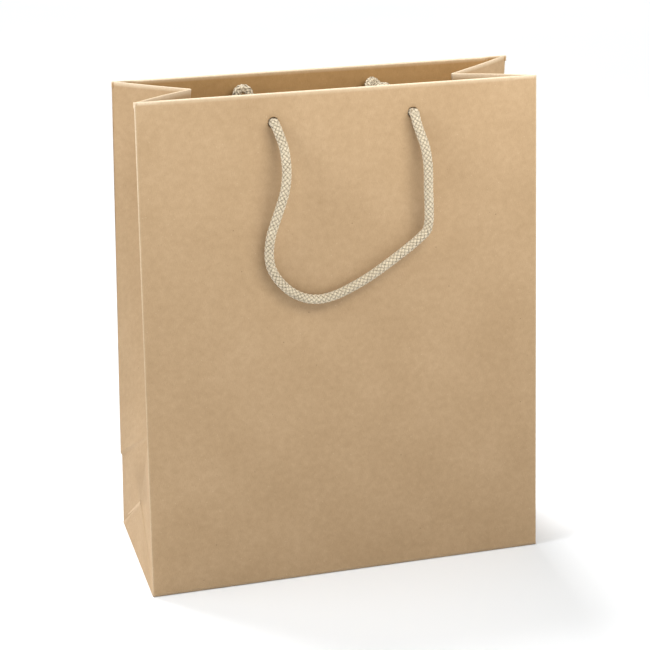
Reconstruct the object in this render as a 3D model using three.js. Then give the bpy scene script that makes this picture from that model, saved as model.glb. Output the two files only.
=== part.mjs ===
// A gift bag of kraft paper with two cord handles, standing open.
// Millimetres, +Z up. The origin is the middle of the base, on the floor. The front faces -Y.
// The bag is one folded sheet. Each panel between two creases is its own plate, so that it can turn
// about the crease, and every plate keeps a small gap to its neighbours.

import * as THREE from "three";

// Driving dimensions
const bagWidth = 255;
const bagDepth = 105;
const wallHeight = 310; // along the leaning wall
const wallLean = THREE.MathUtils.degToRad(4.4); // each wall leans in towards the mouth
const paper = 0.3;
const gap = 0.3; // between pieces that touch on the real bag
const hemDrop = 44; // how far the turned-in top edge reaches down
const topCard = 0.8; // thickness of the strip inside the hem
const baseCard = 1.0;
const holeRadius = 3.6;
const holeHeight = 292.2; // along the wall
const holeSpacing = 88;
const holeShift = { front: 2.2, back: 0 }; // how far off the middle each pair is punched
const cordDiameter = 6;
const knotRadius = 8.6;
const knotThickness = 11.8;

// Layers of a wall, counted inwards from its outer face
const cardOuter = paper + gap;
const cardInner = cardOuter + topCard;
const hemOuter = cardInner + gap;
const hemInner = hemOuter + paper;
const hemEndMargin = 14.5; // bare corner that lets the gusset fold flat

// How far a plate stays back from each kind of crease
const wallCreaseMargin = 0.95;
const foldMargin = 0.6;
const centreMargin = 0.8;
const footMargin = 0.45;
const baseCreaseMargin = 0.6;
const footBaseMargin = 1.5;

// The pleat's top corner is cut back so that it clears the wall as the mouth closes
const pleatCornerCut = { across: 3.8, down: 5.5 };
const hemCornerCut = { across: 6.5, down: 9 };

const kraft = new THREE.MeshStandardMaterial({ color: 0xcfae84, roughness: 0.85, metalness: 0 });
const kraftInside = new THREE.MeshStandardMaterial({ color: 0xb9925f, roughness: 0.9, metalness: 0 });
const greyBoard = new THREE.MeshStandardMaterial({ color: 0xa9957a, roughness: 0.95, metalness: 0 });
const cotton = new THREE.MeshStandardMaterial({ color: 0xe4d6ba, roughness: 0.95, metalness: 0 });

// The gusset's fold points on the front-left quarter, from the lean of the walls.
// The crease keeps the paper's own lengths: half the depth across, and from floor to fold.
const halfWidth = bagWidth / 2;
const halfDepth = bagDepth / 2;
const footHeight = (halfDepth * (1 - Math.sin(wallLean))) / Math.cos(wallLean);
const footInset = Math.sqrt(halfDepth ** 2 - footHeight ** 2);
const baseCorner = new THREE.Vector3(-halfWidth, -halfDepth, 0);
const topCorner = new THREE.Vector3(
  -halfWidth,
  -halfDepth + wallHeight * Math.sin(wallLean),
  wallHeight * Math.cos(wallLean),
);
const foldPoint = new THREE.Vector3(-halfWidth + footInset, 0, footHeight);
const mouthPoint = circleCrossing(foldPoint, wallHeight - halfDepth, topCorner, halfDepth);

// The upper point of the plane y = 0 at distance a from p, which lies in that plane, and b from q.
function circleCrossing(p, a, q, b) {
  const reach = Math.sqrt(b * b - q.y * q.y);
  const dx = q.x - p.x;
  const dz = q.z - p.z;
  const apart = Math.hypot(dx, dz);
  const along = (a * a - reach * reach + apart * apart) / (2 * apart);
  const across = Math.sqrt(a * a - along * along);
  const x = p.x + (dx * along + dz * across) / apart;
  const z = p.z + (dz * along - dx * across) / apart;
  return new THREE.Vector3(x, 0, z);
}

function mesh(name, geometry, material) {
  const made = new THREE.Mesh(geometry, material);
  made.name = name;
  return made;
}

function extruded(shape, depth) {
  return new THREE.ExtrudeGeometry(shape, { depth, bevelEnabled: false, curveSegments: 20 });
}

function outline(points) {
  return new THREE.Shape(points.map(([x, y]) => new THREE.Vector2(x, y)));
}

function cordHoles(shape, shift) {
  for (const side of [-1, 1]) {
    const hole = new THREE.Path();
    hole.absarc((side * holeSpacing) / 2 + shift, holeHeight, holeRadius, 0, 2 * Math.PI);
    shape.holes.push(hole);
  }
  return shape;
}

// A flat polygon given by its corners in space, thickened towards the inside of the bag.
// Each edge moves in by its own margin; layer is the depth of its outer face under the fold plane.
function plate(name, corners, margins, layer, material, inward) {
  const origin = corners[0];
  const u = corners[1].clone().sub(origin).normalize();
  const n = u.clone().cross(corners[2].clone().sub(origin)).normalize();
  const v = n.clone().cross(u);
  const flat = corners.map((c) => {
    const d = c.clone().sub(origin);
    return new THREE.Vector2(d.dot(u), d.dot(v));
  });
  const inset = insetOutline(flat, margins);
  const side = Math.sign(n.dot(inward));
  const geometry = extruded(new THREE.Shape(inset), paper);
  geometry.translate(0, 0, side > 0 ? layer : -layer - paper);
  const made = mesh(name, geometry, material);
  new THREE.Matrix4().makeBasis(u, v, n).setPosition(origin).decompose(
    made.position,
    made.quaternion,
    made.scale,
  );
  return made;
}

// Each edge of a counter-clockwise outline moves inwards by its margin, and neighbours meet again.
function insetOutline(points, margins) {
  const count = points.length;
  const lines = points.map((p, i) => {
    const d = points[(i + 1) % count].clone().sub(p).normalize();
    const inwards = new THREE.Vector2(-d.y, d.x);
    return { p: p.clone().addScaledVector(inwards, margins[i]), d };
  });
  return lines.map((line, i) => {
    const last = lines[(i + count - 1) % count];
    const t = line.p.clone().sub(last.p).cross(line.d) / last.d.cross(line.d);
    return last.p.clone().addScaledVector(last.d, t);
  });
}

// One cord end: a knot against the hem, with the neck that passes out through the hole.
function knot(name, x) {
  const neck = cordDiameter / 2 - 0.2;
  const top = -hemInner - gap;
  const points = [
    [0, gap],
    [neck, gap],
    [neck, top],
  ];
  const steps = 10;
  const flatEnd = 0.22 * Math.PI; // the knot is pressed flat where it meets the hem
  for (let i = 0; i <= steps; i++) {
    const angle = flatEnd + ((Math.PI - flatEnd) * i) / steps;
    const share = (Math.cos(flatEnd) - Math.cos(angle)) / (Math.cos(flatEnd) + 1);
    const radius = i === steps ? 0 : knotRadius * Math.sin(angle);
    points.push([radius, top - knotThickness * share]);
  }
  points.reverse();
  const profile = points.map(([r, y]) => new THREE.Vector2(r, y));
  const made = mesh(name, new THREE.LatheGeometry(profile, 16), cotton);
  made.rotation.x = Math.PI / 2;
  made.position.set(x, holeHeight, 0);
  return made;
}

// The route of a handle on its wall: across, up along the wall, and out from the wall's face.
const frontRoute = [
  [-41.8, 292.2, 3.6],
  [-39.6, 286, 4.6],
  [-37.3, 277.5, 6.4],
  [-36.6, 269, 8],
  [-36.8, 260.5, 8.8],
  [-38.3, 251, 8.8],
  [-41.1, 242, 8.2],
  [-44.2, 233, 7.4],
  [-46.9, 224.5, 6.6],
  [-48.1, 216, 5.8],
  [-47.7, 207.5, 5],
  [-45.2, 200.4, 4.4],
  [-40.1, 193.2, 4],
  [-33.3, 187, 3.8],
  [-25, 182.9, 3.7],
  [-16, 181.6, 3.7],
  [-6, 183.4, 3.8],
  [4, 187.3, 4.1],
  [14, 192.3, 4.6],
  [24, 198.4, 5.2],
  [34, 205.2, 5.9],
  [42.4, 211.2, 6.6],
  [48.2, 216, 7.2],
  [51.8, 219.6, 7.5],
  [53.2, 224.6, 7.6],
  [53.4, 235, 7.8],
  [53, 245, 8.2],
  [53, 255, 8.4],
  [52.6, 264, 8],
  [51.4, 272.5, 6.8],
  [49.2, 280, 5.2],
  [47.3, 286.6, 4.1],
  [46.2, 292.2, 3.6],
];
const backRoute = [
  [-44, 292.2, 3.6],
  [-45, 284.6, 4.4],
  [-47.6, 274, 5.8],
  [-50.4, 263, 6.8],
  [-52.2, 251, 7.2],
  [-52.2, 239, 7],
  [-49.8, 227, 6.4],
  [-45, 215.6, 5.6],
  [-38, 205.4, 4.8],
  [-29, 197, 4.2],
  [-18.4, 190.8, 3.8],
  [-6.6, 187.2, 3.7],
  [5.6, 186.6, 3.7],
  [17.6, 189.4, 3.8],
  [28.6, 195.2, 4.2],
  [38, 203.6, 4.8],
  [45.2, 213.8, 5.6],
  [49.8, 225.4, 6.4],
  [51.8, 237.6, 7],
  [51.8, 250, 7.2],
  [50, 262, 6.8],
  [47.4, 273.4, 5.8],
  [45, 284.6, 4.4],
  [44, 292.2, 3.6],
];

function cord(name, route) {
  const path = new THREE.CatmullRomCurve3(route.map((p) => new THREE.Vector3(...p)));
  const section = new THREE.Shape();
  section.absarc(0, 0, cordDiameter / 2, 0, 2 * Math.PI);
  const geometry = new THREE.ExtrudeGeometry(section, {
    extrudePath: path,
    steps: 64,
    curveSegments: 4,
  });
  return mesh(name, geometry, cotton);
}

// A wall lies in its group's XY plane with its outer face at z = 0 and its foot at y = 0.
function wall(side, route) {
  const group = new THREE.Group();
  const panel = cordHoles(
    outline([
      [-halfWidth, baseCreaseMargin],
      [halfWidth, baseCreaseMargin],
      [halfWidth, wallHeight],
      [-halfWidth, wallHeight],
    ]),
    holeShift[side],
  );
  group.add(layerOf(side + "_panel", panel, paper, paper, kraft));
  group.add(layerOf(side + "_top_card", topStrip(1, 2, holeShift[side]), cardInner, topCard, greyBoard));
  group.add(layerOf(side + "_hem", topStrip(0, 0, holeShift[side]), hemInner, paper, kraftInside));
  group.add(knot(side + "_left_knot", holeShift[side] - holeSpacing / 2));
  group.add(knot(side + "_right_knot", holeShift[side] + holeSpacing / 2));
  group.add(cord(side + "_handle_cord", route));
  return group;
}

// The strip along a wall's top edge, shortened at both ends and lowered at its top edge.
function topStrip(shorter, lower, shift) {
  const end = halfWidth - hemEndMargin - shorter;
  const top = wallHeight - lower;
  const bottom = wallHeight - hemDrop + lower;
  return cordHoles(
    outline([
      [-end, bottom],
      [end, bottom],
      [end, top],
      [-end, top],
    ]),
    shift,
  );
}

function layerOf(name, shape, depth, thickness, material) {
  const made = mesh(name, extruded(shape, thickness), material);
  made.position.z = -depth;
  return made;
}

// The glued lap that closes the sheet into a tube, inside the back wall's edge.
function seamFlap() {
  const width = 14;
  const start = -halfWidth + 1.5;
  const shape = outline([
    [start, 4],
    [start + width, 8],
    [start + width, wallHeight - hemDrop - 3],
    [start, wallHeight - hemDrop - 3],
  ]);
  return layerOf("seam_flap", shape, cardOuter + paper, paper, kraftInside);
}

// The side of the bag between two walls. mirrorX and mirrorY carry the front-left quarter round.
function gussetQuarter(side, end, mirrorX, mirrorY) {
  const place = (p) => new THREE.Vector3(p.x * mirrorX, p.y * mirrorY, p.z);
  const base = place(baseCorner);
  const top = place(topCorner);
  const fold = place(foldPoint);
  const mouth = place(mouthPoint);
  const inward = new THREE.Vector3(mirrorX, 0, 0);
  const group = new THREE.Group();
  const name = side + "_" + end;
  const flankMargins = [wallCreaseMargin, foldMargin, footMargin];
  group.add(plate(name + "_flank", [base, top, fold], flankMargins, 0, kraft, inward));
  const pleat = [
    toward(top, mouth, pleatCornerCut.across),
    mouth,
    fold,
    toward(top, fold, pleatCornerCut.down),
  ];
  const pleatMargins = [0, centreMargin, foldMargin, 0];
  group.add(plate(name + "_pleat", pleat, pleatMargins, 0, kraft, inward));
  const hem = [
    toward(top, mouth, hemCornerCut.across),
    mouth,
    toward(mouth, fold, hemDrop),
    toward(top, fold, hemDrop),
    toward(top, fold, hemCornerCut.down),
  ];
  const hemMargins = [0, centreMargin, 0, foldMargin + gap, 0];
  group.add(plate(name + "_pleat_hem", hem, hemMargins, paper + gap, kraftInside, inward));
  return group;
}

// The point at a distance from one corner in the direction of another.
function toward(from, to, distance) {
  return from.clone().lerp(to, distance / from.distanceTo(to));
}

function foot(side, mirrorX) {
  const corners = [
    new THREE.Vector3(-halfWidth * mirrorX, -halfDepth, 0),
    new THREE.Vector3(-halfWidth * mirrorX, halfDepth, 0),
    new THREE.Vector3(foldPoint.x * mirrorX, 0, foldPoint.z),
  ];
  const inward = new THREE.Vector3(mirrorX, 0, 0);
  const margins = [footBaseMargin, footMargin, footMargin];
  return plate(side + "_foot", corners, margins, 0, kraft, inward);
}

// The folded bottom: two glued flaps outside, two end tucks over them and a card on top.
function bottom() {
  const group = new THREE.Group();
  const flapEnd = halfWidth - 1.1;
  const lap = 12;
  const step = 0.6; // the run of the back flap's step over the front flap's edge
  const frontProfile = [
    [-halfDepth, 0],
    [lap, 0],
    [lap, paper],
    [-halfDepth, paper],
  ];
  const over = paper + gap;
  const backProfile = [
    [lap + step + gap, 0],
    [halfDepth, 0],
    [halfDepth, paper],
    [lap + step + 2 * gap, paper],
    [lap + 2 * gap, over + paper],
    [-lap, over + paper],
    [-lap, over],
    [lap + gap, over],
  ];
  group.add(acrossBag("front_bottom_flap", frontProfile, flapEnd));
  group.add(acrossBag("back_bottom_flap", backProfile, flapEnd));
  const tuckLevel = over + paper + gap;
  const tuckReach = 45;
  for (const [side, mirror] of [
    ["left", -1],
    ["right", 1],
  ]) {
    const outer = (halfWidth - 1.6) * mirror;
    const inner = outer - tuckReach * mirror;
    const points = [
      [outer, -halfDepth + 1.6],
      [outer, halfDepth - 1.6],
      [inner, halfDepth - tuckReach],
      [inner, -halfDepth + tuckReach],
    ];
    const tuck = mesh(side + "_end_tuck", extruded(outline(points), paper), kraftInside);
    tuck.position.z = tuckLevel;
    group.add(tuck);
  }
  const cardEdge = 3.5;
  const card = new THREE.BoxGeometry(bagWidth - 2 * cardEdge, bagDepth - 1.2 * cardEdge, baseCard);
  card.translate(0, 0, tuckLevel + paper + gap + baseCard / 2);
  group.add(mesh("base_card", card, greyBoard));
  return group;
}

// A profile in Y and Z carried along X.
function acrossBag(name, profile, end) {
  const made = mesh(name, extruded(outline(profile), 2 * end), kraft);
  const along = new THREE.Vector3(1, 0, 0);
  const basis = new THREE.Matrix4().makeBasis(
    new THREE.Vector3(0, 1, 0),
    new THREE.Vector3(0, 0, 1),
    along,
  );
  basis.setPosition(along.clone().multiplyScalar(-end));
  basis.decompose(made.position, made.quaternion, made.scale);
  return made;
}

const bag = new THREE.Group();
const frontWall = wall("front", frontRoute);
frontWall.position.y = -halfDepth;
frontWall.rotation.x = Math.PI / 2 - wallLean;
const backWall = wall("back", backRoute);
backWall.add(seamFlap());
backWall.rotation.x = Math.PI / 2 - wallLean;
backWall.position.y = -halfDepth;
const backTurn = new THREE.Group();
backTurn.rotation.z = Math.PI;
backTurn.add(backWall);
bag.add(frontWall, backTurn, bottom());
for (const [side, mirrorX] of [
  ["left", 1],
  ["right", -1],
]) {
  bag.add(foot(side, mirrorX));
  bag.add(gussetQuarter(side, "front", mirrorX, 1));
  bag.add(gussetQuarter(side, "back", mirrorX, -1));
}

export default bag;
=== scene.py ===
import math

import bpy
import numpy as np
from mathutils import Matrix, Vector


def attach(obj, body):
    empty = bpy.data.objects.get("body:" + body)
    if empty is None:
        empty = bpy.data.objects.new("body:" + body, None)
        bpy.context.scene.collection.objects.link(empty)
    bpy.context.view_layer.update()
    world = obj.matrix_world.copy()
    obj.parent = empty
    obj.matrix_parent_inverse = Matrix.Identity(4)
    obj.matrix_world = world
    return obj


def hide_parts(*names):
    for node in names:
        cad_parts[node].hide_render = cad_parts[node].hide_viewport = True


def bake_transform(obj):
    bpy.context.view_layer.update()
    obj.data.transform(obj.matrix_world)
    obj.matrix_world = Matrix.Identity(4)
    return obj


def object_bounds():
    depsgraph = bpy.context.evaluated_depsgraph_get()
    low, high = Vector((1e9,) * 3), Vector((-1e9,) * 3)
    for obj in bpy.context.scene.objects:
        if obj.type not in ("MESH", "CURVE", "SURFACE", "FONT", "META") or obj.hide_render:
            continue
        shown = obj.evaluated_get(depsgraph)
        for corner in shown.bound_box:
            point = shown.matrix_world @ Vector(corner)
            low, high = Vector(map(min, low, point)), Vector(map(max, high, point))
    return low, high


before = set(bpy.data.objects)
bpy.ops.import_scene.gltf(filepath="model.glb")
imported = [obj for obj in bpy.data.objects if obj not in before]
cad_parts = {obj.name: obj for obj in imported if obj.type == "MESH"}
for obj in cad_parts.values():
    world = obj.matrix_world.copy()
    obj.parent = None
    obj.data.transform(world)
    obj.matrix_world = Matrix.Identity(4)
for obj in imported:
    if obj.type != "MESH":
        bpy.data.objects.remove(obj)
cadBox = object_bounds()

bag = {
    "wallLean": math.radians(4.4),  # how far each wall leans in
    "paper": 0.0003,                # thickness of the paper
    "holeHeight": 0.2922,           # along the wall, from the floor
    "holeSpacing": 0.088,
    "holeShift": {"front": 0.0022, "back": 0.0},   # how far off the middle each pair is punched
    "holeRadius": 0.0032,           # the paper closes up round the cord
    "cordDiameter": 0.006,
    "hemDrop": 0.044,
}
width = cadBox[1].x - cadBox[0].x
depth = cadBox[1].y - cadBox[0].y
lean = bag["wallLean"]
wallHeight = (cadBox[1].z - cadBox[0].z) / math.cos(lean)
halfSpacing = bag["holeSpacing"] / 2
print("frame", round(width, 4), round(depth, 4), round(wallHeight, 4))


# A point of a wall: x across, up along the wall from its base crease, out along its outer normal.
# The back wall (flip -1) is the front wall turned half round.
def onWall(flip, x, up, out):
    x, up, out = np.broadcast_arrays(np.asarray(x, float), np.asarray(up, float), np.asarray(out, float))
    y = -depth / 2 + up * math.sin(lean) - out * math.cos(lean)
    z = up * math.cos(lean) + out * math.sin(lean)
    return np.stack([flip * x, flip * y, z], -1)


# -1 on the left and 1 on the right.
def mirror(side):
    return -1 if side == "left" else 1


# 0 before a, 1 after b, and an easy slope between them: 3 t^2 - 2 t^3.
def smooth(a, b, x):
    t = np.clip((np.asarray(x, float) - a) / (b - a), 0, 1)
    return t * t * (3 - 2 * t)


# One mesh object from points, four-cornered faces, a flat map in metres and values kept at each point.
def makeMesh(name, points, quads, uv=None, values=None):
    mesh = bpy.data.meshes.new(name)
    mesh.from_pydata(points.tolist(), [], quads.tolist())
    mesh.polygons.foreach_set("use_smooth", np.ones(len(quads), bool))
    if uv is not None:
        layer = mesh.uv_layers.new(name="sheet")
        layer.uv.foreach_set("vector", np.ascontiguousarray(uv[quads.ravel()], np.float32).ravel())
    for key, array in (values or {}).items():
        mesh.attributes.new(key, "FLOAT", "POINT").data.foreach_set("value", array.astype(np.float32))
    mesh.update()
    obj = bpy.data.objects.new(name, mesh)
    bpy.context.collection.objects.link(obj)
    return obj


# Faces between neighbouring points of a grid of point numbers.
def gridQuads(index):
    return np.stack([index[:-1, :-1], index[:-1, 1:], index[1:, 1:], index[1:, :-1]], -1).reshape(-1, 4)


# A camera or a light at a place, turned to look at a point.
def aimed(name, data, place, aim):
    obj = bpy.data.objects.new(name, data)
    bpy.context.collection.objects.link(obj)
    obj.location = place
    obj.rotation_euler = (Vector(aim) - Vector(place)).to_track_quat("-Z", "Y").to_euler()
    return obj


camera = {
    "eye": (-0.3575, -1.2010, 0.6017),
    "target": (-0.00063, 0.0, 0.14813),
    "lens": 115.53,
    "sensor": 36,
    "nearest": 0.05,
}
cameraData = bpy.data.cameras.new("camera")
cameraData.lens = camera["lens"]
cameraData.sensor_width = camera["sensor"]
cameraData.clip_start = camera["nearest"]
bpy.context.scene.camera = aimed("camera", cameraData, camera["eye"], camera["target"])
print("camera placed")


# Links or sets a node's inputs, given by name or by number.
def feed(made, inputs):
    for key, value in inputs.items():
        if isinstance(value, bpy.types.NodeSocket):
            made.id_data.links.new(value, made.inputs[key])
        else:
            made.inputs[key].default_value = value


# A material, its shader and a function that adds a node to it.
def newMaterial(name):
    material = bpy.data.materials.new(name)
    material.use_nodes = True
    tree = material.node_tree

    def node(kind, inputs=None, **settings):
        made = tree.nodes.new(kind)
        for key, value in settings.items():
            setattr(made, key, value)
        feed(made, inputs or {})
        return made

    return material, tree.nodes["Principled BSDF"], node


# One sum, product or other operation on two values.
def math2(node, operation, a, b=0.0, clamp=False):
    made = node("ShaderNodeMath", {0: a, 1: b}, operation=operation, use_clamp=clamp)
    return made.outputs[0]


# A value that swings about a half, made to swing about 0 by its weight.
def swing(node, value, weight):
    return math2(node, "MULTIPLY", math2(node, "SUBTRACT", value, 0.5), weight)


# A value from the range a to b onto the range c to d, held at its ends.
def remap(node, value, a, b, c=0.0, d=1.0):
    made = node("ShaderNodeMapRange", {0: value, 1: a, 2: b, 3: c, 4: d})
    return made.outputs[0]


# The first colour at factor 0 and the second at factor 1, or another way of blending them.
def blendColour(node, factor, first, second, kind="MIX"):
    made = node("ShaderNodeMix", data_type="RGBA", blend_type=kind)
    feed(made, {0: factor, 6: first, 7: second})
    return made.outputs[2]


# Cloudy noise between 0 and 1, with its scale in cells per unit of the coordinates.
def noise(node, vector, scale, detail=2.0, roughness=0.5, distortion=0.0):
    return node("ShaderNodeTexNoise", {"Vector": vector, "Scale": scale, "Detail": detail,
                                       "Roughness": roughness, "Distortion": distortion}).outputs["Fac"]


# The coordinates turned in the sheet's plane and stretched.
def stretched(node, vector, turn, scale):
    return node("ShaderNodeMapping", {"Vector": vector, "Rotation": turn, "Scale": scale}).outputs[0]


paperLook = {
    # colours of the pulp, a fold paled by wear and painted highlight, and a speck
    "base": (0.430, 0.290, 0.160),
    "light": (0.515, 0.358, 0.212),
    "dark": (0.350, 0.228, 0.119),
    "fold": (0.800, 0.670, 0.500),
    "speck": (0.120, 0.070, 0.035),
    "inside": (0.93, 0.81, 0.58),   # painted shade and bounce light: the turned-in top edge is made a darker, warmer brown
    "paintedShade": 0.72,                 # the painted shade's colour is the dark colour times this
    "roughness": 0.78,
    "bump": 0.35,
    "fibreTurns": ((0.0, 0.0), (0.62, 3.1), (-0.62, 7.7)),   # slant of each family and its place in the noise
    "fibreScale": (2600, 420, 1500),
    # specks: cells per metre, size in a cell, share of cells left empty, colour, strength
    "specks": ((240.0, 0.11, 0.975, "speck", 0.60), (560.0, 0.18, 0.93, "speck", 0.25),
               (520.0, 0.20, 0.95, "fold", 0.20)),
}


# Brown kraft paper: crossing fibres, cloudy pulp and a few dark and pale specks; on a sheet also folds paled
# by wear and painted highlight, painted shade in hollows and at hole edges, and a painted darker, warmer cast
# inside the bag.
# onSheet reads the sheet's own flat map; otherwise the pattern is solid through the piece.
def kraftPaper(name, onSheet, tint=1.0):
    material, shader, node = newMaterial(name)
    look = paperLook
    if onSheet:
        place = node("ShaderNodeUVMap", uv_map="sheet").outputs[0]
    else:
        place = node("ShaderNodeTexCoord").outputs["Object"]
    # fibres lie mostly along the sheet, with two slanting families
    fibres = []
    for turn, seedShift in look["fibreTurns"]:
        turned = stretched(node, place, (0, 0, turn), look["fibreScale"])
        turned = node("ShaderNodeVectorMath", {0: turned, 1: (seedShift, seedShift * 2, 0)}).outputs[0]
        fibres.append(noise(node, turned, 1.0, 2.0, 0.6))
    fibreSum = math2(node, "ADD", math2(node, "ADD", fibres[0], fibres[1]), fibres[2])
    fibre = math2(node, "MULTIPLY", fibreSum, 1 / 3)
    cloud = noise(node, place, 230.0, 5.0, 0.62)
    drift = noise(node, place, 24.0, 3.0, 0.5)
    grain = noise(node, place, 2400.0, 2.0, 0.6)
    # the tone is the sum of the four, round a half
    coarse = math2(node, "ADD", swing(node, fibre, 1.1), swing(node, cloud, 0.72))
    fine = math2(node, "ADD", swing(node, drift, 0.6), swing(node, grain, 0.75))
    tone = math2(node, "ADD", math2(node, "ADD", coarse, fine), 0.5, clamp=True)
    ramp = node("ShaderNodeValToRGB", {"Fac": tone})
    ramp.color_ramp.elements[0].color = (*[c * tint for c in look["dark"]], 1)
    ramp.color_ramp.elements[1].color = (*[c * tint for c in look["light"]], 1)
    middle = ramp.color_ramp.elements.new(0.5)
    middle.color = (*[c * tint for c in look["base"]], 1)
    colour = ramp.outputs[0]
    # specks: small cells of which only a few are filled
    for scale, size, rarity, speckColour, strength in look["specks"]:
        cell = node("ShaderNodeTexVoronoi", {"Vector": place, "Scale": scale, "Randomness": 1.0})
        inside = remap(node, cell.outputs["Distance"], size, size * 0.5)
        chosen = node("ShaderNodeSeparateColor", {0: cell.outputs["Color"]}).outputs[0]
        chosen = math2(node, "GREATER_THAN", chosen, rarity)
        amount = math2(node, "MULTIPLY", math2(node, "MULTIPLY", inside, chosen), strength)
        colour = blendColour(node, amount, colour, (*look[speckColour], 1))
    # folds are paler from wear and painted highlight, unevenly so, and painted shade makes hollows and hole
    # edges darker
    if onSheet:
        # painted shade and bounce light: the inner value turns the inside of the bag a darker, warmer brown
        inner = node("ShaderNodeAttribute", attribute_name="inner").outputs["Fac"]
        bounceShaded = blendColour(node, 1.0, colour, (*look["inside"], 1), "MULTIPLY")
        colour = blendColour(node, inner, colour, bounceShaded)
        wearAndHighlight = node("ShaderNodeAttribute", attribute_name="wearAndHighlight").outputs["Fac"]
        patchy = remap(node, noise(node, place, 900.0, 3.0, 0.6), 0.25, 0.7, 0.55, 1.0)
        wearAndHighlight = math2(node, "MULTIPLY", wearAndHighlight, patchy, clamp=True)
        colour = blendColour(node, wearAndHighlight, colour, (*look["fold"], 1))
        shade = node("ShaderNodeAttribute", attribute_name="shade").outputs["Fac"]
        colour = blendColour(node, shade, colour, (*[c * look["paintedShade"] for c in look["dark"]], 1))
    rough = remap(node, tone, 0.0, 1.0, look["roughness"] + 0.08, look["roughness"] - 0.08)
    height = math2(node, "ADD", math2(node, "MULTIPLY", fibre, 0.7), math2(node, "MULTIPLY", cloud, 0.8))
    bump = node("ShaderNodeBump", {"Strength": look["bump"], "Distance": 0.00025, "Height": height})
    feed(shader, {"Base Color": colour, "Roughness": rough, "Specular IOR Level": 0.3,
                  "Normal": bump.outputs[0]})
    return material


cordLook = {
    # deep is the colour of the painted shade and of the darker fibres, pale that of the lit strands and the
    # paler fibres
    "pale": (0.760, 0.650, 0.470),
    "deep": (0.225, 0.165, 0.095),
    "fluff": 0.35,       # sheen of the loose fibres
    "roughness": 0.9,
}


# Undyed cotton braid with fine twisted yarns, and painted light and shade: each strand is paler on its raised
# face, where light falls, and darker in the gaps, where shade falls.
def cottonCord(name):
    material, shader, node = newMaterial(name)
    place = node("ShaderNodeUVMap", uv_map="sheet").outputs[0]
    solidPlace = node("ShaderNodeTexCoord").outputs["Object"]
    # painted light and shade of the braid, from the mesh: lit raised faces, shaded gaps and core
    braidShading = node("ShaderNodeAttribute", attribute_name="braidShading").outputs["Fac"]
    turned = stretched(node, place, (0, 0, 0.5), (1, 1, 1))
    waves = {"Vector": turned, "Scale": 900.0, "Distortion": 3.0, "Detail": 2.0, "Detail Scale": 1.5}
    yarn = node("ShaderNodeTexWave", waves, wave_type="BANDS", bands_direction="X").outputs["Fac"]
    lint = noise(node, solidPlace, 2600.0, 3.0, 0.65)
    patch = noise(node, solidPlace, 140.0, 3.0, 0.6)
    tone = math2(node, "ADD", braidShading, swing(node, lint, 1.0))
    tone = math2(node, "ADD", tone, swing(node, yarn, 0.30))
    tone = math2(node, "ADD", tone, swing(node, patch, 0.45), clamp=True)
    colour = blendColour(node, tone, (*cordLook["deep"], 1), (*cordLook["pale"], 1))
    height = math2(node, "ADD", math2(node, "MULTIPLY", yarn, 0.5), lint)
    bump = node("ShaderNodeBump", {"Strength": 0.5, "Distance": 0.0002, "Height": height})
    feed(shader, {"Base Color": colour, "Roughness": cordLook["roughness"], "Specular IOR Level": 0.2,
                  "Sheen Weight": cordLook["fluff"], "Sheen Roughness": 0.6, "Normal": bump.outputs[0]})
    return material


boardLook = {
    "deep": (0.26, 0.20, 0.14),
    "pale": (0.52, 0.44, 0.34),
}


# Unbleached board: flecked pulp with soft streaks.
def greyBoard(name):
    material, shader, node = newMaterial(name)
    place = node("ShaderNodeTexCoord").outputs["Object"]
    streak = noise(node, stretched(node, place, (0, 0, 0), (90, 600, 600)), 1.0, 4.0, 0.6)
    fleck = noise(node, place, 1500.0, 3.0, 0.7)
    streaky, flecked = math2(node, "MULTIPLY", streak, 0.6), math2(node, "MULTIPLY", fleck, 0.4)
    tone = math2(node, "ADD", streaky, flecked, clamp=True)
    colour = blendColour(node, remap(node, tone, 0.3, 0.7), (*boardLook["deep"], 1), (*boardLook["pale"], 1))
    rough = remap(node, tone, 0.0, 1.0, 0.95, 0.8)
    bump = node("ShaderNodeBump", {"Strength": 0.4, "Distance": 0.0003, "Height": tone})
    feed(shader, {"Base Color": colour, "Roughness": rough, "Specular IOR Level": 0.2,
                  "Normal": bump.outputs[0]})
    return material


kraftSheet = kraftPaper("kraft sheet", True)
kraftSolid = kraftPaper("kraft solid", False, 0.97)
cotton = cottonCord("cotton braid")
board = greyBoard("grey board")


def setMaterial(obj, material):
    obj.data.materials.clear()
    obj.data.materials.append(material)
    return obj


cordShape = {
    "radius": bag["cordDiameter"] / 2,
    "strands": 6,          # in each direction
    "pitch": 0.0190,       # length of one turn of a strand
    "layer": 0.00206,      # mean radius of the braid
    "weave": 0.00042,      # how far a strand rises over its neighbour
    "halfWidth": 0.00098,
    "halfThick": 0.00052,
    "step": 0.0004,        # between cross-sections
    "sides": 6,            # of a strand
    "ballRings": 8,        # cross-sections of each rounded end
    "coreSides": 10,
    "coreEvery": 3,        # the core keeps one cross-section in so many
    "coreInset": 0.0003,   # of the core below the strands' mean radius
    "coreMap": 0.002,      # radius by which the core's flat map is laid out
}
# painted light and shade on the braid, as how pale it is: in the shaded gaps, on the lit crest of a strand,
# more where it passes over, and on the core, which is painted dark as shade
cordShade = {"gap": 0.08, "crest": 0.28, "over": 0.62, "core": 0.12}
cutsPerSpan = 40       # of a smooth line between two control points


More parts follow.
